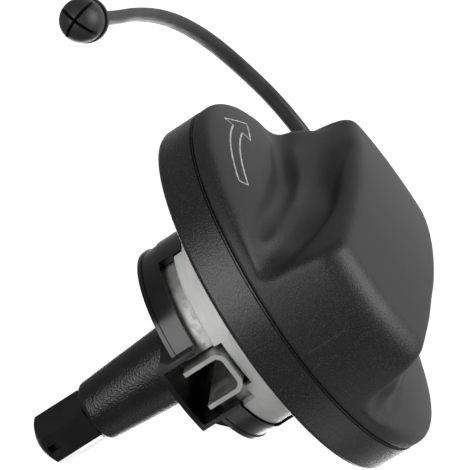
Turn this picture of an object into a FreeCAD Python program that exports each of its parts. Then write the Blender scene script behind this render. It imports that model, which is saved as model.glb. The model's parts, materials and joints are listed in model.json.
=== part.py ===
import FreeCAD, Part
import math
import os
from FreeCAD import Vector

# Quarter-turn fuel cap with a click ratchet, a sprung bayonet bar, a relief valve and a tether.
# Millimetres. +Z is the cap's axis towards the grip, z = 0 is the plane of the filler neck's rim,
# and +X runs along the grip bar.

# Rim, skirt and grip
rim_radius = 41.0
skirt_drop = 1.0
parting_height = 7.6
skirt_wall = 2.6
cover_wall = 2.4
parting_groove = 0.4
shoulder_height = 9.6
shoulder_radius = 2.4
floor_slope = 22.0
floor_flat_radius = 22.0
grip_height = 31.0
grip_crown_slope = 9.5
grip_end_radius = 6.5
grip_half_width = 14.4
grip_barrel = 0.9
grip_lean = 0.1
grip_edge_radius = 2.6
groove_depth = 2.8
groove_width = 3.0
groove_rise = 0.8
ledge_width = 3.1
ledge_top = 21.5
ledge_height = 3.6
ledge_spread = 3.0
near_fall = 8.0
toe_width = 0.7
toe_height = 0.7
rib_thickness = 1.6
rib_offset = 14.0

# Closure body and its seal
spigot_radius = 22.4
spigot_length = 10.8
spigot_flare = 0.4
spigot_wall = 1.45
spigot_chamfer = 0.4
flange_margin = 1.6
flange_thickness = 2.0
seal_gap = 0.2
seal_width = 6.4
seal_thickness = 2.8
seal_edge = 0.6
neck_radius = 24.8
neck_lip = 0.4
tongue_length = 2.9
tongue_start = 24.0
tongue_end = 64.0
snap_half_angle = 16.0
snap_height = 2.2

# Skirt web, tether ring and ratchet, stacked above the flange
running_gap = 0.2
bearing_gap = 0.4
tether_lip = 1.2
web_thickness = 1.4
ratchet_height = 2.4
ratchet_wall = 1.6
ratchet_teeth = 24
tooth_height = 1.5
tooth_span = 0.9
pawl_gap = 0.2
pawl_count = 4
pawl_span = 38.0
pawl_arm = 1.0
pawl_room = 0.4
pawl_ring_width = 2.4
peg_radius = 0.75
peg_gap = 0.05
snap_ring_width = 2.4
snap_ring_thickness = 0.8
snap_groove_depth = 0.8
cover_tongue_wall = 1.9
cover_tongue_height = 1.6
skirt_edge = 0.9

# Relief valve
bulkhead_top = -1.0
bulkhead_thickness = 2.0
port_radius = 7.0
chamber_radius = 19.6
valve_seal_thickness = 0.8
valve_seal_overhang = 0.8
valve_seal_width = 3.4
plate_margin = 0.8
plate_thickness = 1.6
hub_radius = 4.2
hub_top = 4.0
valve_cap_seat = 8.6
valve_cap_thickness = 1.4
valve_cap_ledge = 1.4
press_gap = 0.05
cap_hole_radius = 4.8
vent_radius = 2.2
vent_circle = 14.0
vent_count = 6
vacuum_disc_radius = 4.4
vacuum_disc_thickness = 1.1
vacuum_disc_edge = 0.5
vacuum_stem_radius = 1.6
vacuum_stem_top = 7.2
clip_radius = 3.4
clip_thickness = 0.6
clip_inset = 0.4
guide_gap = 0.08
pressure_coil_radius = 7.4
pressure_wire = 0.9
vacuum_coil_radius = 2.6
vacuum_wire = 0.5

# Bayonet bar and its sleeve
bar_width = 9.6
bar_depth = 9.2
bar_sheet = 1.0
bar_bend = 2.5
bar_inset = 1.0
bar_back = -9.4
bar_travel = 2.8
floor_gap = 0.3
sleeve_sheet = 0.8
slot_gap = 0.5

# Cage, stem and tip
drum_step = 0.6
drum_wall = 1.6
drum_depth = 3.6
drum_gap = 0.3
hook_gap = 0.3
end_plate = 1.7
band_depth = 0.3
band_rim = 0.9
nose_overhang = 2.4
nose_half_width = 8.0
nose_wall = 1.1
gusset_width = 4.0
gusset_length = 3.0
collar_wall = 1.4
collar_height = 1.6
stem_top_radius = 8.6
stem_end_radius = 6.9
stem_end = -47.7
stem_round = 1.6
stem_bore = 5.7
tip_across_flats = 11.0
tip_end = -61.8
tip_dome_radius = 8.5
tip_plug = 3.7
tip_slot_width = 2.8
tip_slot_height = 1.6
tip_slot_depth = 2.2
tip_slot_from_end = 4.2
bayonet_coil_gap = 0.55
bayonet_wire = 1.3

# Tether
tether_ring_gap = 0.6
tether_ring_wall = 2.4
tether_ring_rise = 0.4
strap_height = 4.0
strap_width = 2.8
strap_gap = 0.6
arm_reach = 46.0
arm_angle = 160.0
arm_width = 5.6
button_radius = 4.7
button_length = 7.4
button_groove = 1.2
button_groove_radius = 3.6
button_flange_radius = 4.9
button_flange = 1.6
button_slot = 0.7
button_slot_depth = 4.2
strap_lead = 14.0
strap_bends = [
    (-71.0, 25.0), (-86.5, 29.0), (-101.0, 28.8), (-112.5, 21.5), (-118.0, 9.0), (-115.8, -4.8),
    (-108.8, -17.2), (-99.8, -29.4), (-87.8, -39.9), (-73.8, -48.0), (-58.0, -54.6), (-41.4, -60.0),
    (-25.0, -66.0),
]

# Radii that follow from the sizes above, from the spigot, the neck and the rim
bore_radius = spigot_radius - spigot_wall
sleeve_radius = bore_radius - press_gap
drum_radius = spigot_radius + drum_step
nose_reach = drum_radius + nose_overhang
bar_reach = nose_reach - bar_inset
seal_inner_radius = spigot_radius + spigot_flare + seal_gap
seal_outer_radius = seal_inner_radius + seal_width
flange_radius = seal_outer_radius + flange_margin
bearing_radius = neck_radius + bearing_gap
ratchet_root_radius = neck_radius + press_gap + ratchet_wall
ratchet_tip_radius = ratchet_root_radius + tooth_height
pawl_arm_inner = ratchet_tip_radius + 2 * pawl_gap
pawl_arm_outer = pawl_arm_inner + pawl_arm
pawl_ring_inner = pawl_arm_outer + pawl_room
pawl_ring_outer = pawl_ring_inner + pawl_ring_width
peg_circle = (pawl_ring_inner + pawl_ring_outer) / 2.0
skirt_inner_radius = rim_radius - skirt_wall
cover_inner_radius = rim_radius - cover_wall
tether_ring_radius = skirt_inner_radius - tether_ring_gap
tether_inner_radius = tether_ring_radius - tether_ring_wall
valve_seal_inner = port_radius - valve_seal_overhang
valve_seal_radius = valve_seal_inner + valve_seal_width
plate_radius = valve_seal_radius + plate_margin
valve_cap_radius = chamber_radius + valve_cap_ledge
bayonet_coil_radius = stem_bore - bayonet_coil_gap - bayonet_wire / 2.0

# Levels that follow from the sizes above
flange_bottom = seal_thickness
flange_top = flange_bottom + flange_thickness
tether_bottom = flange_top + running_gap
tether_top = tether_bottom + tether_lip
web_bottom = tether_top + running_gap
web_top = web_bottom + web_thickness
ratchet_bottom = web_top + running_gap
ratchet_top = ratchet_bottom + ratchet_height
snap_ring_bottom = ratchet_top + press_gap
snap_ring_top = snap_ring_bottom + snap_ring_thickness
neck_top = snap_ring_top + press_gap + neck_lip
bulkhead_bottom = bulkhead_top - bulkhead_thickness
plate_bottom = bulkhead_top + valve_seal_thickness
plate_top = plate_bottom + plate_thickness
strap_level = -skirt_drop - strap_gap - strap_height / 2.0
drum_rim = -spigot_length - tongue_length - drum_gap
drum_floor = drum_rim - drum_depth
bar_foot = bar_back - bar_depth
trough_floor = bar_foot - bar_travel - floor_gap
nose_floor = trough_floor - nose_wall
clip_bottom = vacuum_stem_top - clip_thickness - clip_inset


def solid_of_revolution(outline):
    """Turn a closed outline of (radius, height) points about the cap's axis."""
    points = [Vector(r, 0, z) for r, z in outline]
    face = Part.Face(Part.makePolygon(points + [points[0]]))
    return face.revolve(Vector(0, 0, 0), Vector(0, 0, 1), 360)


def disc(radius, low, high):
    return Part.makeCylinder(radius, high - low, Vector(0, 0, low))


def ring(inner, outer, low, high):
    return disc(outer, low, high).cut(disc(inner, low - 1, high + 1))


def block(x0, x1, y0, y1, z0, z1):
    return Part.makeBox(x1 - x0, y1 - y0, z1 - z0, Vector(x0, y0, z0))


def wedge(radius, low, high, start, end):
    """A pie slice from start to end degrees."""
    slice_ = Part.makeCylinder(radius, high - low, Vector(0, 0, low), Vector(0, 0, 1), end - start)
    slice_.rotate(Vector(0, 0, 0), Vector(0, 0, 1), start)
    return slice_


def ring_sector(inner, outer, low, high, start, end):
    return wedge(outer, low, high, start, end).cut(disc(inner, low - 1, high + 1))


def polar(radius, degrees, height=0.0):
    turn = math.radians(degrees)
    return Vector(radius * math.cos(turn), radius * math.sin(turn), height)


def prism(points, low, high):
    """A flat outline in X and Y, raised from low to high."""
    corners = [Vector(p.x, p.y, low) for p in points]
    face = Part.Face(Part.makePolygon(corners + [corners[0]]))
    return face.extrude(Vector(0, 0, high - low))


def turned(shape, degrees):
    copy = shape.copy()
    copy.rotate(Vector(0, 0, 0), Vector(0, 0, 1), degrees)
    return copy


def around(shape, count):
    """The shape repeated evenly about the axis, as a list."""
    return [turned(shape, 360.0 * i / count) for i in range(count)]


def coil(mean_radius, wire, low, high, turns):
    """A compression spring between two levels, its end turns resting on them."""
    height = high - low - wire
    helix = Part.makeHelix(height / turns, height, mean_radius)
    start = Vector(mean_radius, 0, 0)
    section = Part.Wire(Part.makeCircle(wire / 2.0, start, Vector(0, 1, 0)))
    spring = Part.Wire(helix).makePipeShell([section], True, True)
    spring.translate(Vector(0, 0, low + wire / 2.0))
    return spring


def save(node, shape):
    shape = shape.removeSplitter() if shape.ShapeType != "Compound" else shape
    solids = shape.Solids
    if len(solids) == 1:
        shape = solids[0]
    print(node, "solids", len(solids), "valid", shape.isValid(), "volume", round(shape.Volume, 1))
    shape.exportStep("parts/" + node + ".step")


# Grip cover

def eased(value):
    """0 below 0, 1 above 1 and smooth between."""
    t = min(1.0, max(0.0, value))
    return t * t * (3.0 - 2.0 * t)


def lines(points):
    """Straight edges through (radius, height) points."""
    corners = [Vector(r, 0, z) for r, z in points]
    return [Part.makeLine(a, b) for a, b in zip(corners, corners[1:])]


def turned_chain(edges):
    """Turn a closed chain of edges about the cap's axis."""
    face = Part.Face(Part.Wire(Part.__sortEdges__(edges)))
    return face.revolve(Vector(0, 0, 0), Vector(0, 0, 1), 360)


def arc(centre_r, centre_z, radius, start, end):
    """An arc edge in the plane of radius and height, by degrees from the outward direction."""
    points = []
    for degrees in (start, (start + end) / 2.0, end):
        turn = math.radians(degrees)
        points.append(Vector(centre_r + radius * math.cos(turn), 0, centre_z + radius * math.sin(turn)))
    return Part.Arc(*points).toShape()


def turned_profile(low, wall_edges):
    """Close a chain of edges, which runs up the wall and in to the axis, and turn it about the axis."""
    first = wall_edges[0].valueAt(wall_edges[0].FirstParameter)
    last = wall_edges[-1].valueAt(wall_edges[-1].LastParameter)
    foot = Vector(first.x, 0, low)
    chain = [Part.makeLine(Vector(0, 0, low), foot), Part.makeLine(foot, first)]
    for edge, following in zip(wall_edges, wall_edges[1:] + [None]):
        chain.append(edge)
        if following is not None:
            end = edge.valueAt(edge.LastParameter)
            start = following.valueAt(following.FirstParameter)
            if end.distanceToPoint(start) > 1e-6:
                chain.append(Part.makeLine(end, start))
    if last.x > 1e-6:
        axis_top = Vector(0, 0, last.z)
        chain.append(Part.makeLine(last, axis_top))
        last = axis_top
    chain.append(Part.makeLine(last, Vector(0, 0, low)))
    return turned_chain(chain)


# The scooped floor is a shallow dome that meets the rim's wall over the shoulder's round edge.
slope_sin = math.sin(math.radians(floor_slope))
slope_cos = math.cos(math.radians(floor_slope))
floor_edge_radius = rim_radius - shoulder_radius * (1 - slope_sin)
floor_edge_height = shoulder_height + shoulder_radius * slope_cos
dome_radius = (floor_edge_radius - floor_flat_radius) / slope_sin
floor_height = floor_edge_height + dome_radius * (1 - slope_cos)

# The grip bar's ends stand on the rim and round over to a slightly crowned top.
crown_sin = math.sin(math.radians(grip_crown_slope))
crown_cos = math.cos(math.radians(grip_crown_slope))
crown_radius = (rim_radius - grip_end_radius * (1 - crown_sin)) / crown_sin
end_round_height = grip_height - crown_radius * (1 - crown_cos) - grip_end_radius * crown_cos


def floor_at(radius):
    """Height of the scooped floor at a distance from the axis."""
    out = min(max(radius, floor_flat_radius), floor_edge_radius) - floor_flat_radius
    return floor_height - dome_radius + math.sqrt(dome_radius ** 2 - out ** 2)


def floor_body(low):
    corner = arc(rim_radius - shoulder_radius, shoulder_height, shoulder_radius, 0, 90 - floor_slope)
    dome = arc(floor_flat_radius, floor_height - dome_radius, dome_radius, 90 - floor_slope, 90)
    return turned_profile(low, [corner, dome])


def floor_cavity(low):
    radius = dome_radius - cover_wall
    start = math.degrees(math.acos((cover_inner_radius - floor_flat_radius) / radius))
    dome = arc(floor_flat_radius, floor_height - dome_radius, radius, start, 90)
    return turned_profile(low, [dome])


def grip_blank(low, inset):
    """The round blank that the grip bar is cut from, or its hollow, one wall further in."""
    end_round = arc(rim_radius - grip_end_radius, end_round_height, grip_end_radius - inset,
                    0, 90 - grip_crown_slope)
    crown = arc(0, grip_height - crown_radius, crown_radius - inset, 90 - grip_crown_slope, 90)
    return turned_profile(low, [end_round, crown])


def grip_side(x, z):
    """Half-width of the bar on its -Y side: a wall, a groove, a ledge that falls away and a foot."""
    share = x / rim_radius
    far = eased(-share / 0.55)
    half = grip_half_width - grip_barrel * share ** 2
    lean = grip_lean * (1.0 + share ** 2) * (grip_height - z)
    top = ledge_top + ledge_spread * far - near_fall * max(0.0, (share - 0.12) / 0.73) ** 2
    tall = ledge_height * (1.0 - 0.25 * eased((share - 0.4) / 0.45)) + 2.0 * ledge_spread * far
    flare = eased(-share / 0.4) + eased(share / 0.75)
    ledge = ledge_width * (1.0 + 0.6 * flare) * (1.0 - eased((z - top + tall) / tall))
    ledge = ledge * (1.0 - eased((abs(share) - 0.7) / 0.17))
    groove = groove_depth * math.exp(-((z - top - groove_rise) / groove_width) ** 2)
    groove = groove * (1.0 - far) * (1.0 - eased((share - 0.35) / 0.5))
    floor = floor_at(math.hypot(x, half))
    toe = toe_width * eased((0.86 - abs(share)) / 0.4) * math.exp(-max(z - floor, 0.0) / toe_height)
    return half + lean + ledge - groove + toe


def side_tool(low, inset):
    """What is cut away beside the bar on its -Y side."""
    reach = 1.15 * rim_radius
    high = 1.1 * grip_height
    levels = [low + (high - low) * j / 44.0 for j in range(45)]
    rows = []
    for i in range(37):
        x = -reach + 2.0 * reach * i / 36
        rows.append([Vector(x, inset - grip_side(x, z), z) for z in levels])
    surface = Part.BSplineSurface()
    surface.interpolate(rows)
    return surface.toShape().extrude(Vector(0, -3.0 * rim_radius, 0))


def grip_bar(low, inset):
    tool = side_tool(low - 1.0, inset)
    return grip_blank(low, inset).cut(tool).cut(turned(tool, 180))


def rounded_bar(low):
    """The bar with the edges of its two gripped sides rounded."""
    bar = grip_bar(low, 0.0)
    edges = []
    for face in bar.Faces:
        if isinstance(face.Surface, Part.BSplineSurface):
            edges += [edge for edge in face.Edges if edge.BoundBox.ZMax > low + 1.0]
    return bar.makeFillet(grip_edge_radius, edges)


def make_grip_cover():
    outer = floor_body(parting_height).fuse(rounded_bar(parting_height))
    hollow_bar = grip_bar(parting_height - 1.0, cover_wall)
    cover = outer.cut(floor_cavity(parting_height - 1.0).fuse(hollow_bar))
    rib_low = floor_height - cover_wall
    half = rib_thickness / 2.0
    for x in (-rib_offset, rib_offset):
        rib = block(x - half, x + half, -rim_radius, rim_radius, rib_low, grip_height)
        cover = cover.fuse(rib.common(hollow_bar))
    return cover


# Skirt ring: the rim's lower wall, the web that bears on the closure's neck, and the tongue in the cover

def make_skirt_ring():
    low = -skirt_drop
    edge = skirt_edge
    groove_z = parting_height - parting_groove
    tongue_outer = cover_inner_radius - press_gap
    tongue_inner = tongue_outer - cover_tongue_wall
    tongue_top = parting_height + cover_tongue_height
    outline = [
        (skirt_inner_radius, low), (rim_radius - edge, low), (rim_radius - 0.3 * edge, low + 0.3 * edge),
        (rim_radius, low + edge), (rim_radius, groove_z), (rim_radius - parting_groove, groove_z),
        (rim_radius - parting_groove, parting_height), (tongue_outer, parting_height),
        (tongue_outer, tongue_top), (tongue_inner, tongue_top), (tongue_inner, web_top),
        (bearing_radius, web_top), (bearing_radius, web_bottom), (skirt_inner_radius, web_bottom),
    ]
    skirt = solid_of_revolution(outline)
    peg = disc(peg_radius, web_top - web_thickness / 2.0, ratchet_top)
    peg.translate(Vector(peg_circle, 0, 0))
    for copy in around(peg, pawl_count):
        skirt = skirt.fuse(copy)
    return skirt


# Ratchet: a toothed ring fixed on the closure's neck and a sprung pawl ring fixed in the skirt

tooth_pitch = 360.0 / ratchet_teeth


def make_ratchet_ring():
    outline = []
    for i in range(ratchet_teeth):
        start = i * tooth_pitch
        outline.append(polar(ratchet_root_radius, start))
        outline.append(polar(ratchet_tip_radius, start))
        outline.append(polar(ratchet_root_radius, start + tooth_pitch * tooth_span))
    teeth = prism(outline, ratchet_bottom, ratchet_top)
    return teeth.cut(disc(neck_radius + press_gap, ratchet_bottom - 1, ratchet_top + 1))


def make_pawl():
    """One springy arm with its tip in the gap ahead of a tooth's steep face."""
    arm_middle = pawl_arm_inner + pawl_arm / 2.0
    face_angle = -math.degrees(pawl_gap / ratchet_root_radius)
    back_angle = face_angle - tooth_pitch * 0.45
    root_angle = face_angle - pawl_span
    low = web_top + pawl_gap
    high = ratchet_top - pawl_gap
    arm = ring_sector(pawl_arm_inner, pawl_arm_outer, low, high, root_angle, face_angle)
    root = ring_sector(pawl_arm_inner, peg_circle, low, high, root_angle - 5.0, root_angle + 1.0)
    drop = tooth_height / (tooth_pitch * tooth_span)
    back_radius = ratchet_root_radius + drop * tooth_pitch * 0.35 + 2 * pawl_gap
    corners = [
        polar(ratchet_root_radius + pawl_gap, face_angle), polar(arm_middle, face_angle),
        polar(arm_middle, back_angle), polar(back_radius, back_angle),
    ]
    return arm.fuse(root).fuse(prism(corners, low, high))


def make_pawl_ring():
    carrier = ring(pawl_ring_inner, pawl_ring_outer, web_top, ratchet_top - pawl_gap)
    hole = disc(peg_radius + peg_gap, web_top - 1, ratchet_top + 1)
    hole.translate(Vector(peg_circle, 0, 0))
    for copy in around(hole, pawl_count):
        carrier = carrier.cut(copy)
    for pawl in around(make_pawl(), pawl_count):
        carrier = carrier.fuse(pawl)
    return carrier


def make_snap_ring():
    inner = neck_radius - snap_groove_depth + press_gap
    full = ring(inner, inner + snap_ring_width, snap_ring_bottom, snap_ring_top)
    return full.cut(wedge(rim_radius, snap_ring_bottom - 1, snap_ring_top + 1, 80, 100))


# Closure body: spigot, flange, neck and bulkhead in one moulding

def make_closure_body():
    low = -spigot_length
    root_radius = spigot_radius + spigot_flare
    groove_low = snap_ring_bottom - press_gap / 2.0
    groove_high = snap_ring_top + press_gap
    groove_radius = neck_radius - snap_groove_depth
    seat_radius = valve_cap_radius + press_gap
    outline = [
        (bore_radius, low), (spigot_radius - spigot_chamfer, low), (spigot_radius, low + spigot_chamfer),
        (root_radius, 0), (root_radius, flange_bottom),
        (flange_radius, flange_bottom), (flange_radius, flange_top), (neck_radius, flange_top),
        (neck_radius, groove_low), (groove_radius, groove_low), (groove_radius, groove_high),
        (neck_radius, groove_high), (neck_radius, neck_top), (seat_radius, neck_top),
        (seat_radius, valve_cap_seat), (chamber_radius, valve_cap_seat), (chamber_radius, bulkhead_top),
        (port_radius, bulkhead_top), (port_radius, bulkhead_bottom), (bore_radius, bulkhead_bottom),
    ]
    body = solid_of_revolution(outline)
    hook_span = snap_half_angle + 1.0
    hook_inner = bore_radius - hook_gap
    for turn in (0, 180):
        tongue = ring_sector(bore_radius, spigot_radius, low - tongue_length, low + tongue_length / 2.0,
                             tongue_start + turn, tongue_end + turn)
        body = body.fuse(tongue)
        notch = ring_sector(hook_inner, spigot_radius + 1.0, low - 1.0, low + snap_height + running_gap,
                            90 - hook_span + turn, 90 + hook_span + turn)
        body = body.cut(notch)
    half = bar_width / 2.0 + slot_gap
    return body.cut(block(-rim_radius, rim_radius, -half, half, low - 1.0, bar_back + slot_gap))


def make_main_seal():
    edge = seal_edge
    outline = [
        (seal_inner_radius, edge), (seal_inner_radius + edge, 0), (seal_outer_radius - edge, 0),
        (seal_outer_radius, edge), (seal_outer_radius, seal_thickness - edge),
        (seal_outer_radius - edge, seal_thickness), (seal_inner_radius + edge, seal_thickness),
        (seal_inner_radius, seal_thickness - edge),
    ]
    return solid_of_revolution(outline)


# Relief valve

def make_pressure_seal():
    return ring(valve_seal_inner, valve_seal_radius, bulkhead_top, plate_bottom)


def make_pressure_plate():
    guide_radius = vacuum_stem_radius + guide_gap
    outline = [
        (guide_radius, plate_bottom), (plate_radius, plate_bottom), (plate_radius, plate_top),
        (hub_radius, plate_top), (hub_radius, hub_top), (guide_radius, hub_top),
    ]
    return solid_of_revolution(outline)


def make_valve_cap():
    high = valve_cap_seat + valve_cap_thickness
    cap = ring(cap_hole_radius, valve_cap_radius, valve_cap_seat, high)
    vent = disc(vent_radius, valve_cap_seat - 1, high + 1)
    vent.translate(Vector(vent_circle, 0, 0))
    for copy in around(vent, vent_count):
        cap = cap.cut(copy)
    return cap


def make_vacuum_valve():
    disc_top = plate_bottom
    disc_low = disc_top - vacuum_disc_thickness
    edge = vacuum_disc_edge
    outline = [
        (0, disc_low), (vacuum_disc_radius - edge, disc_low), (vacuum_disc_radius, disc_low + edge),
        (vacuum_disc_radius, disc_top), (vacuum_stem_radius, disc_top), (vacuum_stem_radius, vacuum_stem_top),
        (0, vacuum_stem_top),
    ]
    return solid_of_revolution(outline)


def make_vacuum_clip():
    return ring(vacuum_stem_radius, clip_radius, clip_bottom, clip_bottom + clip_thickness)


# Bayonet bar: a folded channel of sheet steel, open towards the stem

def channel_outline(half_width, back, foot, bend):
    """Half a channel's line in Y and Z: down one leg, round the bend and to the middle of the back."""
    corner = Vector(0, half_width - bend, back - bend)
    mid = corner + Vector(0, bend * math.sin(math.pi / 4), bend * math.cos(math.pi / 4))
    start = Vector(0, half_width, foot)
    bend_start = Vector(0, half_width, back - bend)
    bend_end = Vector(0, half_width - bend, back)
    return start, bend_start, mid, bend_end


def channel_face():
    outer = channel_outline(bar_width / 2, bar_back, bar_foot, bar_bend)
    inner = channel_outline(bar_width / 2 - bar_sheet, bar_back - bar_sheet, bar_foot, bar_bend - bar_sheet)
    edges = []
    for start, bend_start, mid, bend_end in (outer, inner):
        flip = [Vector(p.x, -p.y, p.z) for p in (start, bend_start, mid, bend_end)]
        edges.append(Part.makeLine(start, bend_start))
        edges.append(Part.Arc(bend_start, mid, bend_end).toShape())
        edges.append(Part.makeLine(bend_end, flip[3]))
        edges.append(Part.Arc(flip[3], flip[2], flip[1]).toShape())
        edges.append(Part.makeLine(flip[1], flip[0]))
    for side in (1, -1):
        outer_end = Vector(0, side * outer[0].y, bar_foot)
        inner_end = Vector(0, side * inner[0].y, bar_foot)
        edges.append(Part.makeLine(outer_end, inner_end))
    return Part.Face(Part.Wire(Part.__sortEdges__(edges)))


def make_bayonet_bar():
    face = channel_face()
    face.translate(Vector(-bar_reach, 0, 0))
    return face.extrude(Vector(2 * bar_reach, 0, 0))


def make_steel_sleeve():
    sleeve = ring(sleeve_radius - sleeve_sheet, sleeve_radius, drum_floor, bulkhead_bottom)
    half = bar_width / 2 + slot_gap
    slot = block(-rim_radius, rim_radius, -half, half, drum_floor - 1, bar_back + slot_gap)
    return sleeve.cut(slot)


# Cage: end plate, drum, lug noses and hollow stem in one moulding

def make_stem_cage():
    plate_low = drum_floor - end_plate
    drum_inner = drum_radius - drum_wall
    drum = disc(drum_radius, plate_low, drum_rim).cut(disc(drum_inner, drum_floor, drum_rim + 1))
    band = ring(drum_radius - band_depth, drum_radius + 1, plate_low + band_rim, drum_rim - band_rim)
    drum = drum.cut(band)
    collar_inner = sleeve_radius + press_gap
    drum = drum.fuse(ring(collar_inner, collar_inner + collar_wall, drum_floor, drum_floor + collar_height))
    for turn in (0, 180):
        hook = ring_sector(drum_inner, drum_radius, drum_rim - 1, -spigot_length + snap_height,
                           90 - snap_half_angle + turn, 90 + snap_half_angle + turn)
        drum = drum.fuse(hook)
    nose = block(-rim_radius, rim_radius, -nose_half_width, nose_half_width, nose_floor, drum_rim)
    nose = nose.common(disc(nose_reach, nose_floor - 1, drum_rim + 1))
    trough = nose.common(disc(nose_reach + 1, nose_floor - 1, drum_floor))
    cheeks = nose.common(ring(drum_inner, nose_reach + 1, drum_floor, drum_rim))
    cage = drum.fuse(trough).fuse(cheeks)
    for x_side in (1, -1):
        for y_side in (1, -1):
            gusset = make_gusset(plate_low)
            if y_side < 0:
                gusset = gusset.mirror(Vector(0, 0, 0), Vector(0, 1, 0))
            if x_side < 0:
                gusset = gusset.mirror(Vector(0, 0, 0), Vector(1, 0, 0))
            cage = cage.fuse(gusset)
    cage = cage.fuse(make_stem())
    half = nose_half_width - nose_wall
    cage = cage.cut(block(-rim_radius, rim_radius, -half, half, trough_floor, drum_rim + 1))
    return cage.cut(disc(stem_bore, stem_end - 1, trough_floor + 1))


def make_gusset(plate_low):
    x = math.sqrt(drum_radius ** 2 - (nose_half_width + gusset_width) ** 2) - gusset_length
    root = nose_half_width - 0.2
    top = plate_low + 0.1
    outer = nose_half_width + gusset_width
    corners = [Vector(x, root, nose_floor), Vector(x, outer, top), Vector(x, root, top)]
    return Part.Face(Part.makePolygon(corners + [corners[0]])).extrude(Vector(gusset_length, 0, 0))


def make_stem():
    start = stem_end + stem_round
    top = nose_floor + nose_wall / 2.0
    outline = lines([(0, top), (0, stem_end), (stem_end_radius - stem_round, stem_end)])
    outline.append(arc(stem_end_radius - stem_round, start, stem_round, -90, 0))
    upper = [(stem_end_radius, start), (stem_top_radius, nose_floor), (stem_top_radius, top), (0, top)]
    outline += lines(upper)
    return turned_chain(outline)


def make_stem_tip():
    corner = tip_across_flats / math.sqrt(3.0)
    hexagon = prism([polar(corner, 60.0 * i + 30.0) for i in range(6)], tip_end, stem_end)
    dome = Part.makeSphere(tip_dome_radius, Vector(0, 0, tip_end + tip_dome_radius))
    dome = dome.fuse(disc(tip_dome_radius, tip_end + tip_dome_radius, stem_end))
    tip = hexagon.common(dome)
    tip = tip.fuse(disc(stem_bore - press_gap, stem_end - 0.5, stem_end + tip_plug))
    slot_z = tip_end + tip_slot_from_end
    half_width = tip_slot_width / 2.0
    half_height = tip_slot_height / 2.0
    slot = block(tip_across_flats / 2 - tip_slot_depth, rim_radius, -half_height, half_height,
                 slot_z - half_width, slot_z + half_width)
    return tip.cut(slot)


# Tether: a ring that turns under the skirt, a moulded strap and its fixing button

def make_tether_ring():
    inner = tether_inner_radius
    outer = tether_ring_radius
    low = -skirt_drop + tether_ring_rise
    body = ring(bearing_radius, outer, tether_bottom, tether_top)
    body = body.fuse(ring(inner, outer, low, tether_top))
    strap_low = strap_level - strap_height / 2.0
    strap_high = strap_level + strap_height / 2.0
    half = arm_width / 2.0
    post = block(inner - arm_width, outer, -half, half, strap_low, tether_bottom)
    post = post.common(ring(inner, outer, strap_low, tether_bottom))
    arm = block(inner + tether_ring_wall / 4.0, arm_reach, -half, half, strap_low, strap_high)
    return body.fuse(turned(post.fuse(arm), arm_angle))


def strap_path(corners):
    """Straight runs joined by arcs as large as the runs allow, and the list of arc radii."""
    edges = []
    radii = []
    start = corners[0]
    for before, corner, after in zip(corners, corners[1:], corners[2:]):
        into = (corner - before).normalize()
        out = (after - corner).normalize()
        shorter = min(corner.distanceToPoint(before), corner.distanceToPoint(after))
        turn = into.getAngle(out)
        cut = 0.45 * shorter
        radius = cut / math.tan(turn / 2.0)
        first = corner - into * cut
        last = corner + out * cut
        inward = (out - into).normalize()
        middle = corner + inward * (radius / math.cos(turn / 2.0) - radius)
        edges.append(Part.LineSegment(start, first).toShape())
        edges.append(Part.Arc(first, middle, last).toShape())
        radii.append(round(radius, 1))
        start = last
    edges.append(Part.LineSegment(start, corners[-1]).toShape())
    return Part.Wire(edges), radii


def strap_corners():
    """The strap's corner points, which leave the ring's arm squarely."""
    start = polar(arm_reach, arm_angle, strap_level)
    lead = polar(arm_reach + strap_lead, arm_angle, strap_level)
    return [start, lead] + [Vector(x, y, strap_level) for x, y in strap_bends]


def make_tether_strap():
    corners = strap_corners()
    path, radii = strap_path(corners)
    start = corners[0]
    heading = (corners[1] - start).normalize()
    oval = Part.Ellipse(Vector(0, 0, 0), strap_height / 2.0, strap_width / 2.0).toShape()
    side = Vector(0, 0, 1).cross(heading)
    rows = (0, side.x, heading.x, start.x, 0, side.y, heading.y, start.y, 1, 0, 0, start.z)
    section = Part.Wire(oval).transformGeometry(FreeCAD.Matrix(*rows))
    shell = Part.BRepOffsetAPI.MakePipeShell(path)
    shell.setBiNormalMode(Vector(0, 0, 1))
    shell.add(section)
    shell.build()
    shell.makeSolid()
    strap = shell.shape()
    expected = math.pi * strap_height * strap_width / 4.0 * path.Length
    share = round(strap.Volume / expected, 3)
    print("strap length", round(path.Length, 1), "radii", radii, "volume share", share)
    return strap


def make_tether_button():
    """A domed button, split by two slots, with a groove behind it for a hole in the filler pocket."""
    corners = strap_corners()
    heading = (corners[-1] - corners[-2]).normalize()
    edge = 0.5
    groove_end = button_flange + button_groove
    dome_base = button_length + button_flange - button_radius
    outline = lines([
        (0, dome_base + button_radius), (0, 0), (button_flange_radius - edge, 0),
        (button_flange_radius, edge), (button_flange_radius, button_flange),
        (button_groove_radius, button_flange), (button_groove_radius, groove_end),
        (button_radius, groove_end), (button_radius, dome_base),
    ])
    outline.append(arc(0, dome_base, button_radius, 0, 90))
    button = turned_chain(outline)
    tip = dome_base + button_radius
    half = button_slot / 2.0
    slot = block(-half, half, -2 * button_radius, 2 * button_radius, tip - button_slot_depth, tip + 1.0)
    button = button.cut(slot).cut(turned(slot, 90))
    button.Placement = FreeCAD.Placement(corners[-1], FreeCAD.Rotation(Vector(0, 0, 1), heading))
    return button


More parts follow.
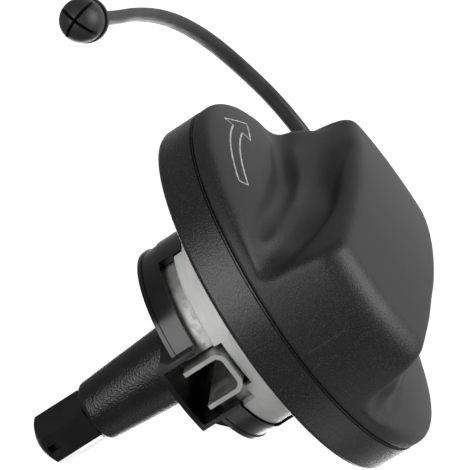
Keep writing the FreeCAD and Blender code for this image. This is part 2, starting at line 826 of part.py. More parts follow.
os.makedirs("parts", exist_ok=True)
save("skirt_ring", make_skirt_ring())
save("pawl_ring", make_pawl_ring())
save("closure_body", make_closure_body())
save("main_seal", make_main_seal())
save("ratchet_ring", make_ratchet_ring())
save("snap_ring", make_snap_ring())
save("steel_sleeve", make_steel_sleeve())
save("bayonet_bar", make_bayonet_bar())
save("bayonet_spring", coil(bayonet_coil_radius, bayonet_wire, stem_end + tip_plug, bar_foot, 7))
save("stem_cage", make_stem_cage())
save("stem_tip", make_stem_tip())
save("valve_cap", make_valve_cap())
save("pressure_seal", make_pressure_seal())
save("pressure_plate", make_pressure_plate())
save("pressure_spring", coil(pressure_coil_radius, pressure_wire, plate_top, valve_cap_seat, 4))
save("vacuum_valve", make_vacuum_valve())
save("vacuum_spring", coil(vacuum_coil_radius, vacuum_wire, hub_top, clip_bottom, 4))
save("vacuum_clip", make_vacuum_clip())
save("tether_ring", make_tether_ring())
save("tether_strap", make_tether_strap())
save("tether_button", make_tether_button())
save("grip_cover", make_grip_cover())
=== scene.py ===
import json
import math

import bpy
from mathutils import Matrix, Vector


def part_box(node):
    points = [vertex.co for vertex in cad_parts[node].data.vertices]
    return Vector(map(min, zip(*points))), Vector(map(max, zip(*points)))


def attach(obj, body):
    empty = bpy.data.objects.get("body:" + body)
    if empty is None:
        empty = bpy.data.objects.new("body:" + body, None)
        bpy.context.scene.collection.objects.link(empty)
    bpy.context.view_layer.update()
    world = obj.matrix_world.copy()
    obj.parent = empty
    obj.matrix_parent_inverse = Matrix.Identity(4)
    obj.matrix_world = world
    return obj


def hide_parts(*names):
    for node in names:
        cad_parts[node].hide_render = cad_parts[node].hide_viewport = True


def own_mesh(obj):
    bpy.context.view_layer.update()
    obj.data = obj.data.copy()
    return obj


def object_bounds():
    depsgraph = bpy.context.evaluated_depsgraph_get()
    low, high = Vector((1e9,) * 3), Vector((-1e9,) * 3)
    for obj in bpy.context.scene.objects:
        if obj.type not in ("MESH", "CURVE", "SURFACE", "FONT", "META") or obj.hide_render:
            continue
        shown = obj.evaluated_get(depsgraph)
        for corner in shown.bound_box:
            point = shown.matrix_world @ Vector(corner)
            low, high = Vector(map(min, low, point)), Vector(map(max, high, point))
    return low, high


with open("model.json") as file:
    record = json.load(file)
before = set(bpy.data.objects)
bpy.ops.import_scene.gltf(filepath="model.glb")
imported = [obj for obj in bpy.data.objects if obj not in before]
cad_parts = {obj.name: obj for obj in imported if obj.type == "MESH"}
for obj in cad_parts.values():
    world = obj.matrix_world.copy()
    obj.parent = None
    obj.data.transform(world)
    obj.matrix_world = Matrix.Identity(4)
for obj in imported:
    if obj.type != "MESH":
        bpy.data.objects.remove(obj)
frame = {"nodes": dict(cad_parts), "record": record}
cad_low, cad_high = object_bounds()
nodes = frame["nodes"]
record = frame["record"]
scene = bpy.context.scene
scene.view_settings.view_transform = "Standard"
MM = 0.001


# Node tree helpers

def feed(tree, socket, value):
    """Link a socket, or set it to a constant; a colour may come as three numbers."""
    if isinstance(value, bpy.types.NodeSocket):
        tree.links.new(value, socket)
    elif socket.type == "RGBA" and len(value) == 3:
        socket.default_value = (*value, 1.0)
    else:
        socket.default_value = value


def put(tree, kind, inputs=None, **settings):
    """Add a node, set its properties, and feed its inputs by name or index."""
    made = tree.nodes.new(kind)
    for name, value in settings.items():
        setattr(made, name, value)
    for name, value in (inputs or {}).items():
        feed(tree, made.inputs[name], value)
    return made


def sums(tree, operation, first, second=0.0, third=0.0):
    return put(tree, "ShaderNodeMath", {0: first, 1: second, 2: third}, operation=operation).outputs[0]


def plus(tree, first, second):
    return sums(tree, "ADD", first, second)


def less(tree, first, second):
    return sums(tree, "SUBTRACT", first, second)


def times(tree, first, second):
    return sums(tree, "MULTIPLY", first, second)


def unsigned(tree, value):
    return sums(tree, "ABSOLUTE", value)


def vectors(tree, operation, first, second):
    """A vector sum whose result is a vector."""
    return put(tree, "ShaderNodeVectorMath", {0: first, 1: second}, operation=operation).outputs["Vector"]


def vector_measure(tree, operation, first, second):
    """A vector sum whose result is a number."""
    return put(tree, "ShaderNodeVectorMath", {0: first, 1: second}, operation=operation).outputs["Value"]


def ramp(tree, value, low, high, start=0.0, end=1.0):
    """A smooth step from start to end as value goes from low to high."""
    made = put(tree, "ShaderNodeMapRange", {
        "Value": value, "From Min": low, "From Max": high, "To Min": start, "To Max": end},
        interpolation_type="SMOOTHSTEP")
    return made.outputs["Result"]


def blend_colours(tree, factor, first, second):
    """A colour between first and second, as factor goes from 0 to 1."""
    made = put(tree, "ShaderNodeMix", {"Factor": factor}, data_type="RGBA")
    for socket, colour in zip([s for s in made.inputs if s.type == "RGBA"], (first, second)):
        feed(tree, socket, colour)
    return [s for s in made.outputs if s.type == "RGBA"][0]


class Finish:
    """A surface finish: its material, its shader and the place on the piece in metres."""

    def __init__(self, name):
        self.material = bpy.data.materials.new(name)
        self.material.use_nodes = True
        self.tree = self.material.node_tree
        self.shader = self.tree.nodes["Principled BSDF"]
        self.place = put(self.tree, "ShaderNodeTexCoord").outputs["Object"]
        self.x, self.y, self.z = put(self.tree, "ShaderNodeSeparateXYZ", {0: self.place}).outputs[:3]

    def noise(self, scale, detail=2.0, roughness=0.5, stretch=None):
        place = self.place
        if stretch:
            place = put(self.tree, "ShaderNodeMapping", {"Vector": place, "Scale": stretch}).outputs[0]
        return put(self.tree, "ShaderNodeTexNoise", {
            "Vector": place, "Scale": scale, "Detail": detail, "Roughness": roughness}).outputs[0]

    def cells(self, scale, output="Distance"):
        return put(self.tree, "ShaderNodeTexVoronoi", {"Vector": self.place, "Scale": scale}).outputs[output]

    def set(self, **inputs):
        for name, value in inputs.items():
            feed(self.tree, self.shader.inputs[name.replace("_", " ")], value)

    def bump(self, height, distance):
        made = put(self.tree, "ShaderNodeBump", {"Height": height, "Distance": distance, "Strength": 1.0})
        self.set(Normal=made.outputs["Normal"])


# Finishes

COVER_DARK, COVER_PALE, COVER_SPECK = (0.010, 0.010, 0.0104), (0.0145, 0.0145, 0.015), (0.070, 0.070, 0.072)
WHITE_TINT, ACETAL_TINT, FLOW_SHADE = (0.91, 0.905, 0.89), (0.82, 0.80, 0.73), 0.86
STEEL_DULL, STEEL_PALE, STEEL_SHEARED = (0.46, 0.46, 0.45), (0.68, 0.68, 0.66), (0.86, 0.86, 0.84)
WIRE_DARK, WIRE_PALE = (0.36, 0.36, 0.37), (0.58, 0.58, 0.58)
CAGE_DARK, CAGE_PALE = (0.005, 0.005, 0.0055), (0.011, 0.011, 0.0115)
TETHER_DARK, TETHER_RUBBED = (0.022, 0.022, 0.023), (0.040, 0.040, 0.041)
RUBBER_DARK, RUBBER_BLOOM = (0.014, 0.014, 0.015), (0.036, 0.036, 0.035)
PAINT_WORN, PAINT_FRESH = (0.36, 0.36, 0.36), (0.62, 0.62, 0.61)
FLOOR_GREY, PURE_WHITE = (0.6, 0.6, 0.6), (1.0, 1.0, 1.0)
SEAM_END, SEAM_LOW, SEAM_HIGH = 37.0, 9.6, 18.5
SHEARED_END = 24.25
STEM_TOP, STEM_FOOT = -21.5, -48.2


def grained_cover(name, smooth, rough):
    """Dark grey moulding with a fine eroded grain and a faint mould line at the near end."""
    finish = Finish(name)
    tree = finish.tree
    grain = finish.noise(4200.0, roughness=0.6)
    pits = finish.cells(2600.0)
    cloud = finish.noise(70.0, detail=4.0, roughness=0.55)
    base = blend_colours(tree, ramp(tree, cloud, 0.3, 0.7), COVER_DARK, COVER_PALE)
    specked = blend_colours(tree, ramp(tree, grain, 0.52, 0.72), base, COVER_SPECK)
    finish.set(Base_Color=specked, Roughness=ramp(tree, grain, 0.3, 0.7, smooth, rough))
    on_middle = ramp(tree, unsigned(tree, finish.y), 0.30 * MM, 0.12 * MM)
    at_end = ramp(tree, finish.x, SEAM_END * MM, (SEAM_END + 1.0) * MM)
    under_top = ramp(tree, finish.z, (SEAM_HIGH + 1.5) * MM, SEAM_HIGH * MM)
    over_rim = ramp(tree, finish.z, SEAM_LOW * MM, (SEAM_LOW + 0.4) * MM)
    seam = times(tree, times(tree, times(tree, on_middle, at_end), under_top), over_rim)
    height = plus(tree, times(tree, grain, 0.7), times(tree, pits, 0.5))
    finish.bump(plus(tree, height, times(tree, seam, 0.8)), 0.06 * MM)
    return finish.material


def natural_white(name, tint):
    """Unpigmented white moulding with faint flow marks."""
    finish = Finish(name)
    tree = finish.tree
    flow = finish.noise(90.0, detail=4.0, stretch=(1.0, 1.0, 4.0))
    fine = finish.noise(1400.0)
    shade = tuple(FLOW_SHADE * c for c in tint)
    finish.set(Base_Color=blend_colours(tree, ramp(tree, flow, 0.35, 0.68), shade, tint),
               Roughness=ramp(tree, flow, 0.3, 0.7, 0.30, 0.42),
               Subsurface_Weight=0.12, Subsurface_Scale=2.0 * MM)
    finish.bump(plus(tree, fine, times(tree, flow, 1.5)), 0.03 * MM)
    return finish.material


def plated_sheet():
    """Zinc-plated sheet steel: a mottled crystal pattern, duller patches and bright sheared ends."""
    finish = Finish("plated_sheet")
    tree = finish.tree
    spangle = put(tree, "ShaderNodeSeparateColor", {0: finish.cells(900.0, "Color")}).outputs[0]
    haze = finish.noise(260.0, detail=5.0, roughness=0.65)
    sheared = ramp(tree, unsigned(tree, finish.x), SHEARED_END * MM, (SHEARED_END + 0.1) * MM)
    dull = blend_colours(tree, ramp(tree, haze, 0.35, 0.7), STEEL_DULL, STEEL_PALE)
    mottle = plus(tree, haze, times(tree, spangle, 0.35))
    finish.set(Base_Color=blend_colours(tree, sheared, dull, STEEL_SHEARED), Metallic=1.0,
               Roughness=ramp(tree, mottle, 0.3, 1.0, 0.48, 0.70))
    finish.bump(plus(tree, haze, times(tree, spangle, 0.5)), 0.06 * MM)
    return finish.material


def drawn_wire():
    """Bright spring wire with draw lines."""
    finish = Finish("drawn_wire")
    tree = finish.tree
    lines = finish.noise(500.0, detail=3.0, stretch=(1.0, 1.0, 14.0))
    finish.set(Base_Color=blend_colours(tree, lines, WIRE_DARK, WIRE_PALE), Metallic=1.0,
               Roughness=ramp(tree, lines, 0.3, 0.7, 0.22, 0.4))
    finish.bump(lines, 0.02 * MM)
    return finish.material


def smooth_black():
    """Black glass-filled moulding: smooth on the drum, a leathery grain along the stem."""
    finish = Finish("smooth_black")
    tree = finish.tree
    below_drum = ramp(tree, finish.z, STEM_TOP * MM, (STEM_TOP - 3.0) * MM)
    above_tip = ramp(tree, finish.z, STEM_FOOT * MM, (STEM_FOOT + 1.2) * MM)
    stem = times(tree, below_drum, above_tip)
    leather = plus(tree, finish.cells(2300.0), times(tree, finish.noise(3400.0), 0.8))
    flow = finish.noise(120.0, detail=5.0, roughness=0.6)
    finish.set(Base_Color=blend_colours(tree, ramp(tree, flow, 0.35, 0.7), CAGE_DARK, CAGE_PALE),
               Roughness=plus(tree, ramp(tree, flow, 0.3, 0.75, 0.15, 0.27), times(tree, stem, 0.08)))
    finish.bump(plus(tree, times(tree, leather, stem), times(tree, flow, 0.35)), 0.06 * MM)
    return finish.material


def satin_tether():
    """Soft satin black of the tether, with faint rubbed streaks."""
    finish = Finish("satin_tether")
    tree = finish.tree
    fine = finish.noise(1900.0)
    rub = finish.noise(160.0, detail=4.0, roughness=0.6)
    finish.set(Base_Color=blend_colours(tree, ramp(tree, rub, 0.4, 0.75), TETHER_DARK, TETHER_RUBBED),
               Roughness=ramp(tree, rub, 0.3, 0.7, 0.38, 0.52))
    finish.bump(fine, 0.04 * MM)
    return finish.material


def seal_rubber():
    """Matt rubber with a dusty bloom."""
    finish = Finish("seal_rubber")
    tree = finish.tree
    bloom = finish.noise(240.0, detail=5.0, roughness=0.65)
    fine = finish.noise(2200.0)
    finish.set(Base_Color=blend_colours(tree, ramp(tree, bloom, 0.45, 0.8), RUBBER_DARK, RUBBER_BLOOM),
               Roughness=ramp(tree, bloom, 0.3, 0.7, 0.62, 0.8))
    finish.bump(fine, 0.05 * MM)
    return finish.material


def marking_paint():
    """Pale printed mark, a little worn."""
    finish = Finish("marking_paint")
    tree = finish.tree
    worn = finish.noise(900.0, detail=4.0, roughness=0.6)
    finish.set(Base_Color=blend_colours(tree, ramp(tree, worn, 0.42, 0.62), PAINT_WORN, PAINT_FRESH),
               Roughness=ramp(tree, worn, 0.3, 0.7, 0.5, 0.65))
    finish.bump(worn, 0.03 * MM)
    return finish.material


FINISH_OF = {
    "cover_plastic": grained_cover("grained_cover", 0.40, 0.54),
    "closure_plastic": natural_white("natural_white", WHITE_TINT),
    "acetal": natural_white("natural_acetal", ACETAL_TINT),
    "seal_rubber": seal_rubber(),
    "plated_steel": plated_sheet(),
    "spring_steel": drawn_wire(),
    "cage_plastic": smooth_black(),
    "tether_plastic": satin_tether(),
}
FINISH_OF["valve_rubber"] = FINISH_OF["seal_rubber"]

for subpart in record["subparts"]:
    mesh = nodes[subpart["node"]].data
    mesh.materials.clear()
    mesh.materials.append(FINISH_OF[subpart["material_slot"]])
nodes["skirt_ring"].data.materials[0] = grained_cover("grained_skirt", 0.24, 0.34)


# Geometry Nodes helpers

def new_tree(name, inputs):
    """An empty geometry tree with a geometry input and output and the named inputs."""
    tree = bpy.data.node_groups.new(name, "GeometryNodeTree")
    tree.interface.new_socket("Geometry", in_out="INPUT", socket_type="NodeSocketGeometry")
    for label, kind in inputs.items():
        tree.interface.new_socket(label, in_out="INPUT", socket_type="NodeSocket" + kind)
    tree.interface.new_socket("Geometry", in_out="OUTPUT", socket_type="NodeSocketGeometry")
    return tree, put(tree, "NodeGroupInput").outputs


def close_tree(tree, geometry, material):
    """Shade smooth, realize, set the material and hand the geometry out."""
    smooth = put(tree, "GeometryNodeSetShadeSmooth", {"Geometry": geometry}).outputs[0]
    whole = put(tree, "GeometryNodeRealizeInstances", {0: smooth}).outputs[0]
    dressed = put(tree, "GeometryNodeSetMaterial", {"Geometry": whole, "Material": material}).outputs[0]
    put(tree, "NodeGroupOutput", {0: dressed})


def linked(name, data):
    made = bpy.data.objects.new(name, data)
    scene.collection.objects.link(made)
    return made


def plain_mesh(source):
    """The source object's mesh with its modifiers applied, or a curve's points as a mesh."""
    graph = bpy.context.evaluated_depsgraph_get()
    return bpy.data.meshes.new_from_object(source.evaluated_get(graph), depsgraph=graph)


def grown(name, source, tree, values):
    """Run the tree on a source object, keep the result as a plain mesh object and drop the source."""
    modifier = source.modifiers.new("grow", "NODES")
    modifier.node_group = tree
    for item in tree.interface.items_tree:
        if item.in_out == "INPUT" and item.name in values:
            modifier[item.identifier] = values[item.name]
    mesh = plain_mesh(source)
    source.modifiers.remove(modifier)
    bpy.data.objects.remove(source)
    return linked(name, mesh)


def drawn_curve(name, points, kind):
    curve = bpy.data.curves.new(name, "CURVE")
    curve.dimensions = "3D"
    spline = curve.splines.new(kind)
    spline.points.add(len(points) - 1)
    for point, place in zip(spline.points, points):
        point.co = (*place, 1.0)
    return linked(name, curve), spline


def moved(tree, geometry, place=None, offset=None):
    made = put(tree, "GeometryNodeSetPosition", {"Geometry": geometry})
    if place:
        feed(tree, made.inputs["Position"], place)
    if offset:
        feed(tree, made.inputs["Offset"], offset)
    return made.outputs[0]


def tube(tree, route, section, caps):
    made = put(tree, "GeometryNodeCurveToMesh", {
        "Curve": route, "Profile Curve": section, "Fill Caps": caps})
    return made.outputs[0]


def circle(tree, sides, radius):
    made = put(tree, "GeometryNodeCurvePrimitiveCircle", {"Resolution": sides, "Radius": radius})
    return made.outputs[0]


# Grip cover: the same moulding with its inner corners blended into soft hollows and its edges eased

BLEND_VOXEL = 0.5
EASE_PASSES, NOSE_PASSES, BLEND_PASSES = 2, 30, 34
ZONE_FLOOR, ZONE_FLOOR_FULL = 10.5, 12.0
ZONE_SIDE, ZONE_SIDE_FULL = 8.0, 11.0
CORNER_BEND, CORNER_BEND_FULL = -0.004, -0.03
BEND_PASSES, HOLLOW_PASSES = 5, 10
HOLLOW_DEPTH, HOLLOW_TOP, HOLLOW_TOP_FULL = 1.5, 21.0, 18.0
NOSE, NEAR_REACH, FAR_REACH = (32.5, 18.3, 13.3), 8.0, 17.0
END_CHANGE = 5.0
COVER_MIDDLE, SKIN_CHANGE = 6.0, 1.0


def blurred(tree, value, passes, weight=1.0):
    """A field averaged over its neighbours, as often as passes says."""
    kind = "FLOAT_VECTOR" if value.type == "VECTOR" else "FLOAT"
    made = put(tree, "GeometryNodeBlurAttribute", {"Iterations": passes, "Weight": weight}, data_type=kind)
    feed(tree, [s for s in made.inputs if s.type == value.type and s.enabled][0], value)
    return [s for s in made.outputs if s.enabled][0]


def cover_blank():
    """The grip cover's solid skinned again with even small faces."""
    blank = linked("cover_blank", nodes["grip_cover"].data.copy())
    weld = blank.modifiers.new("weld", "WELD")
    weld.merge_threshold = 0.001 * MM
    skin = blank.modifiers.new("skin", "REMESH")
    skin.mode = "VOXEL"
    skin.voxel_size = BLEND_VOXEL * MM
    return blank


def blended_corners():
    """Ease all edges, press in the outer skin's low corners, round the ledge ends and blend the corners."""
    tree, given = new_tree("blended_corners", {
        "Blend Passes": "Int", "Ease Passes": "Int", "Nose Passes": "Int", "Hollow Depth": "Float",
        "Nose": "Vector", "Nose Reach": "Float", "Far Reach": "Float"})
    place = put(tree, "GeometryNodeInputPosition").outputs[0]
    facing = put(tree, "GeometryNodeInputNormal").outputs[0]
    x, y, z = put(tree, "ShaderNodeSeparateXYZ", {0: place}).outputs[:3]
    aside = unsigned(tree, y)

    above = ramp(tree, z, ZONE_FLOOR * MM, ZONE_FLOOR_FULL * MM)
    zone = times(tree, above, ramp(tree, aside, ZONE_SIDE * MM, ZONE_SIDE_FULL * MM))
    angle = put(tree, "GeometryNodeInputMeshEdgeAngle").outputs["Signed Angle"]
    corner = ramp(tree, blurred(tree, angle, BEND_PASSES), CORNER_BEND, CORNER_BEND_FULL)
    hollow = blurred(tree, times(tree, corner, zone), HOLLOW_PASSES)

    from_middle = vectors(tree, "SUBTRACT", place, (0.0, 0.0, COVER_MIDDLE * MM))
    outward = vector_measure(tree, "DOT_PRODUCT", facing, from_middle)
    outside = ramp(tree, outward, -SKIN_CHANGE * MM, SKIN_CHANGE * MM)
    low = times(tree, hollow, ramp(tree, z, HOLLOW_TOP * MM, HOLLOW_TOP_FULL * MM))
    depth = times(tree, times(tree, low, outside), times(tree, given["Hollow Depth"], -1.0))
    inward = put(tree, "ShaderNodeVectorMath", {0: facing, 3: depth}, operation="SCALE").outputs[0]

    folded = put(tree, "ShaderNodeCombineXYZ", {0: unsigned(tree, x), 1: aside, 2: z}).outputs[0]
    reach = ramp(tree, x, END_CHANGE * MM, -END_CHANGE * MM, given["Nose Reach"], given["Far Reach"])
    near = ramp(tree, vector_measure(tree, "DISTANCE", folded, given["Nose"]), reach, 0.0)

    eased = moved(tree, given["Geometry"], blurred(tree, place, given["Ease Passes"]))
    pressed = moved(tree, eased, offset=inward)
    rounded = moved(tree, pressed, blurred(tree, place, given["Nose Passes"], times(tree, near, above)))
    blended = moved(tree, rounded, blurred(tree, place, given["Blend Passes"], hollow))
    close_tree(tree, blended, FINISH_OF["cover_plastic"])
    return tree


blended_cover = grown("blended_cover", cover_blank(), blended_corners(), {
    "Blend Passes": BLEND_PASSES, "Ease Passes": EASE_PASSES, "Nose Passes": NOSE_PASSES,
    "Hollow Depth": HOLLOW_DEPTH * MM, "Nose": tuple(v * MM for v in NOSE),
    "Nose Reach": NEAR_REACH * MM, "Far Reach": FAR_REACH * MM})
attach(blended_cover, "handle")
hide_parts("grip_cover")


# Tether strap: an oval moulding with a flash line along its sides

ARM_REACH, ARM_ANGLE, STRAP_LEAD, STRAP_LEVEL = 46.0, math.radians(160.0), 14.0, -3.6
STRAP_HEIGHT, STRAP_WIDTH, STRAP_FLASH = 4.0, 2.8, 0.05
FLASH_EDGE, FLASH_CREST = 0.05, 0.01
STRAP_SIDES, STRAP_ORDER, STRAP_STEPS = 40, 3, 14
STRAP_BENDS = [
    (-71.0, 25.0), (-86.5, 29.0), (-101.0, 28.8), (-112.5, 21.5), (-118.0, 9.0), (-115.8, -4.8),
    (-108.8, -17.2), (-99.8, -29.4), (-87.8, -39.9), (-73.8, -48.0), (-58.0, -54.6), (-41.4, -60.0),
    (-25.0, -66.0),
]


def strap_section():
    """An oval swept along the route, with a raised line where the two mould halves met."""
    tree, given = new_tree("strap_section", {"Height": "Float", "Width": "Float", "Flash": "Float"})
    upright = put(tree, "GeometryNodeSetCurveNormal", {"Curve": given["Geometry"]}, mode="Z_UP").outputs[0]
    place = put(tree, "GeometryNodeInputPosition").outputs[0]
    x, y, _ = put(tree, "ShaderNodeSeparateXYZ", {0: place}).outputs[:3]
    ridge = put(tree, "ShaderNodeMapRange", {
        "Value": unsigned(tree, y), "From Min": FLASH_EDGE, "From Max": FLASH_CREST}).outputs[0]
    swell = sums(tree, "MULTIPLY_ADD", ridge, given["Flash"], 1.0)
    wide = times(tree, times(tree, x, given["Width"]), swell)
    tall = times(tree, y, given["Height"])
    stretched = put(tree, "ShaderNodeCombineXYZ", {0: wide, 1: tall}).outputs[0]
    oval = moved(tree, circle(tree, STRAP_SIDES, 0.5), stretched)
    close_tree(tree, tube(tree, upright, oval, True), FINISH_OF["tether_plastic"])
    return tree


def make_strap():
    lead = [(r * math.cos(ARM_ANGLE), r * math.sin(ARM_ANGLE)) for r in (ARM_REACH, ARM_REACH + STRAP_LEAD)]
    points = [(x * MM, y * MM, STRAP_LEVEL * MM) for x, y in lead + STRAP_BENDS]
    route, spline = drawn_curve("strap_route", points, "NURBS")
    spline.order_u = STRAP_ORDER
    spline.use_endpoint_u = True
    spline.resolution_u = STRAP_STEPS
    path = [tuple(v.co) for v in plain_mesh(route).vertices]
    made = grown("strap_moulding", route, strap_section(), {
        "Height": STRAP_HEIGHT * MM, "Width": STRAP_WIDTH * MM, "Flash": STRAP_FLASH})
    return made, points[0], path


strap, strap_exit, strap_path = make_strap()
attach(strap, "tether")
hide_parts("tether_strap")


# Springs: wound wire in place of each spring that a joint presses, built at its resting length

SPRING_WIRE = {"bayonet_spring": 1.3, "pressure_spring": 0.9, "vacuum_spring": 0.5}
SPRING_TURNS = {"bayonet_spring": 7, "pressure_spring": 4, "vacuum_spring": 4}
WIRE_SIDES, TURN_STEPS = 18, 48
BODY_OF = {node: body for body, held in record["behaviour"]["bodies"].items() for node in held}


def wound_wire():
    """A round wire wound on a cylinder, its end turns resting on the two levels that hold it."""
    tree, given = new_tree("wound_wire", {
        "Turns": "Float", "Wire": "Float", "Outer Radius": "Float", "Low": "Float", "High": "Float"})
    half = times(tree, given["Wire"], 0.5)
    radius = less(tree, given["Outer Radius"], half)
    tall = less(tree, given["High"], given["Low"])
    helix = put(tree, "GeometryNodeCurveSpiral", {
        "Resolution": TURN_STEPS, "Rotations": given["Turns"], "Start Radius": radius, "End Radius": radius,
        "Height": less(tree, tall, given["Wire"])}).outputs[0]
    level = put(tree, "ShaderNodeCombineXYZ", {2: plus(tree, given["Low"], half)}).outputs[0]
    seated = put(tree, "GeometryNodeTransform", {"Geometry": helix, "Translation": level}).outputs[0]
    close_tree(tree, tube(tree, seated, circle(tree, WIRE_SIDES, half), True), FINISH_OF["spring_steel"])
    return tree


def make_spring(tree, node):
    low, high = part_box(node)
    blank = linked("spring_blank", bpy.data.meshes.new("spring_blank"))
    spring = grown(node + "_wire", blank, tree, {
        "Turns": SPRING_TURNS[node], "Wire": SPRING_WIRE[node] * MM, "Outer Radius": high[0],
        "Low": low[2], "High": high[2]})
    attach(spring, BODY_OF[node])
    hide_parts(node)
    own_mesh(spring)


wire_tree = wound_wire()
for joint in record["behaviour"]["joints"]:
    for pushed in joint.get("deforming_nodes", []):
        make_spring(wire_tree, pushed["node"])


# Turn mark: the outline of a plain curved arrow, printed on the floor of the left finger scoop

MARK_INNER, MARK_OUTER, MARK_BARB = 32.8, 35.2, 2.2
MARK_TAIL, MARK_NECK, MARK_TIP = -60.0, -98.0, -112.0
MARK_ABOVE, MARK_STEPS = 45.0, 24
LINE_WIDTH, LINE_HEIGHT, LINE_STEP, LINE_SIDES = 0.46, 0.16, 0.5, 10
DROP_REACH = 60.0


def mark_outline():
    """Points of the arrow's outline in a flat plane above the cap, from the tail round the tip and back."""
    def at(radius, degrees):
        turn = math.radians(degrees)
        return (radius * math.cos(turn) * MM, radius * math.sin(turn) * MM, MARK_ABOVE * MM)

    def shaft(radius):
        turns = [MARK_TAIL + (MARK_NECK - MARK_TAIL) * i / MARK_STEPS for i in range(MARK_STEPS + 1)]
        return [at(radius, degrees) for degrees in turns]

    head = [at(MARK_INNER - MARK_BARB, MARK_NECK), at((MARK_INNER + MARK_OUTER) / 2.0, MARK_TIP),
            at(MARK_OUTER + MARK_BARB, MARK_NECK)]
    return shaft(MARK_INNER) + head + shaft(MARK_OUTER)[::-1]


def printed_line():
    """A flat line of paint dropped from the drawn route onto the cover below it."""
    tree, given = new_tree("printed_line", {
        "Cover": "Object", "Line Width": "Float", "Line Height": "Float", "Step": "Float"})
    stepped = put(tree, "GeometryNodeResampleCurve", {
        "Curve": given["Geometry"], "Length": given["Step"]}, mode="LENGTH").outputs[0]
    cover = put(tree, "GeometryNodeObjectInfo", {"Object": given["Cover"]}, transform_space="ORIGINAL")
    drop = put(tree, "GeometryNodeRaycast", {
        "Target Geometry": cover.outputs["Geometry"], "Ray Direction": (0.0, 0.0, -1.0),
        "Ray Length": DROP_REACH * MM}).outputs
    upright = put(tree, "GeometryNodeSetCurveNormal", {
        "Curve": stepped, "Normal": drop["Hit Normal"]}, mode="FREE").outputs[0]
    laid = moved(tree, upright, drop["Hit Position"])
    stretch = put(tree, "ShaderNodeCombineXYZ", {0: given["Line Height"], 1: given["Line Width"]}).outputs[0]
    section = put(tree, "GeometryNodeTransform", {
        "Geometry": circle(tree, LINE_SIDES, 0.5), "Scale": stretch}).outputs[0]
    close_tree(tree, tube(tree, laid, section, False), marking_paint())
    return tree


mark_route, mark_spline = drawn_curve("mark_route", mark_outline(), "POLY")
mark_spline.use_cyclic_u = True
turn_mark = grown("turn_mark", mark_route, printed_line(), {
    "Cover": blended_cover, "Line Width": LINE_WIDTH * MM, "Line Height": LINE_HEIGHT * MM,
    "Step": LINE_STEP * MM})
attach(turn_mark, "handle")


# Camera

CAMERA_PLACE = (0.5729, -0.1860, 0.1656)
CAMERA_RIGHT = (-0.0608, 0.5820, 0.8108)
CAMERA_BACK = (0.9243, -0.2738, 0.2659)
SENSOR_WIDTH, FOCAL_PIXELS, PICTURE_PIXELS = 36.0, 3000.0, 470.0


def turned_to(right, up, back):
    return Matrix((right, up, back)).transposed().to_4x4()


def make_camera():
    lens = bpy.data.cameras.new("camera")
    lens.sensor_width = SENSOR_WIDTH
    lens.lens = SENSOR_WIDTH * FOCAL_PIXELS / PICTURE_PIXELS
    lens.clip_start = 0.01
    lens.clip_end = 20.0
    back = Vector(CAMERA_BACK).normalized()
    up = back.cross(Vector(CAMERA_RIGHT)).normalized()
    right = up.cross(back)
    camera = linked("camera", lens)
    camera.matrix_world = Matrix.Translation(Vector(CAMERA_PLACE)) @ turned_to(right, up, back)
    scene.camera = camera
    return right, up, back


view_right, view_up, view_back = make_camera()


# Light: directions are given as right, up and back in the view

BOX_DISTANCE = 0.7
GLOW, GLOW_EDGE, GLOW_FULL = (0.6, 0.1, -0.8), 0.30, 0.92
MIRRORED_DIM, MIRRORED_BRIGHT, ROOM_LIGHT = 0.05, 0.6, 0.2


def in_view(parts):
    return (parts[0] * view_right + parts[1] * view_up + parts[2] * view_back).normalized()


def soft_box(name, towards, along, size, power):
    """A soft box aimed at the cap: which way it hangs, and which way its long side runs."""
    away = in_view(towards)
    across = away.cross(in_view(along)).normalized()
    lamp = bpy.data.lights.new(name, "AREA")
    lamp.shape = "RECTANGLE"
    lamp.size, lamp.size_y = size
    lamp.energy = power
    hung = linked(name, lamp)
    hung.matrix_world = Matrix.Translation(away * BOX_DISTANCE) @ turned_to(across.cross(away), across, away)


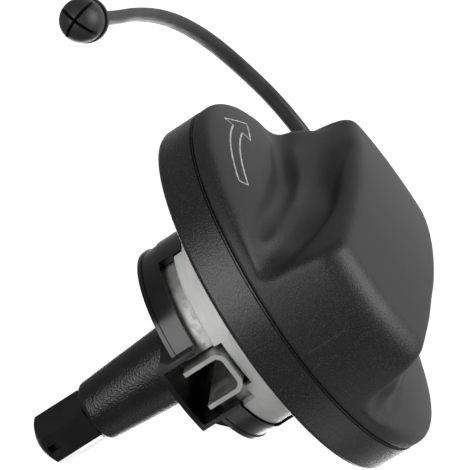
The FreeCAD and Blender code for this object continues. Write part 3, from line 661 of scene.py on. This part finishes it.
soft_box("key_box", (0.86, 0.34, 0.38), (0.0, 1.0, 0.0), (0.55, 0.55), 4.6)
soft_box("window_box", (-0.63, 0.05, 0.775), (0.41, -0.83, 0.37), (0.50, 0.32), 2.0)
soft_box("low_box", (0.32, -0.94, 0.05), (1.0, 0.0, 0.0), (0.4, 0.4), 0.35)
soft_box("back_box", (-0.12, -0.22, -0.91), (1.0, 0.0, 0.0), (0.5, 0.5), 2.0)


def make_world():
    """A white studio to the eye, a dim room to the surfaces, and a bright backdrop in their reflections."""
    world = bpy.data.worlds.new("studio")
    world.use_nodes = True
    scene.world = world
    tree = world.node_tree
    rays = put(tree, "ShaderNodeLightPath").outputs
    facing = put(tree, "ShaderNodeTexCoord").outputs["Generated"]
    behind = vector_measure(tree, "DOT_PRODUCT", facing, tuple(in_view(GLOW)))
    backdrop = ramp(tree, behind, GLOW_EDGE, GLOW_FULL, MIRRORED_DIM, MIRRORED_BRIGHT)
    seen = sums(tree, "MAXIMUM", rays["Is Camera Ray"], rays["Is Transmission Ray"])
    seen = sums(tree, "MAXIMUM", seen, times(tree, rays["Is Glossy Ray"], backdrop))
    sky = tree.nodes["Background"]
    feed(tree, sky.inputs["Color"], PURE_WHITE)
    feed(tree, sky.inputs["Strength"], sums(tree, "MAXIMUM", seen, ROOM_LIGHT))


make_world()


# Floor

FLOOR_HALF, FLOOR_DROP = 8.0, 0.5


def make_floor():
    """A pale floor well below the cap, white to the eye and left out of reflections."""
    level = cad_low.z - FLOOR_DROP
    mesh = bpy.data.meshes.new("floor")
    corners = [(x * FLOOR_HALF, y * FLOOR_HALF, level) for x, y in ((-1, -1), (1, -1), (1, 1), (-1, 1))]
    mesh.from_pydata(corners, [], [(0, 1, 2, 3)])
    floor = linked("floor", mesh)
    pale = Finish("pale_floor")
    rays = put(pale.tree, "ShaderNodeLightPath").outputs
    pale.set(Base_Color=FLOOR_GREY, Roughness=0.9, Emission_Color=PURE_WHITE,
             Emission_Strength=rays["Is Camera Ray"])
    mesh.materials.append(pale.material)
    floor.visible_glossy = False
    floor.visible_transmission = False


make_floor()
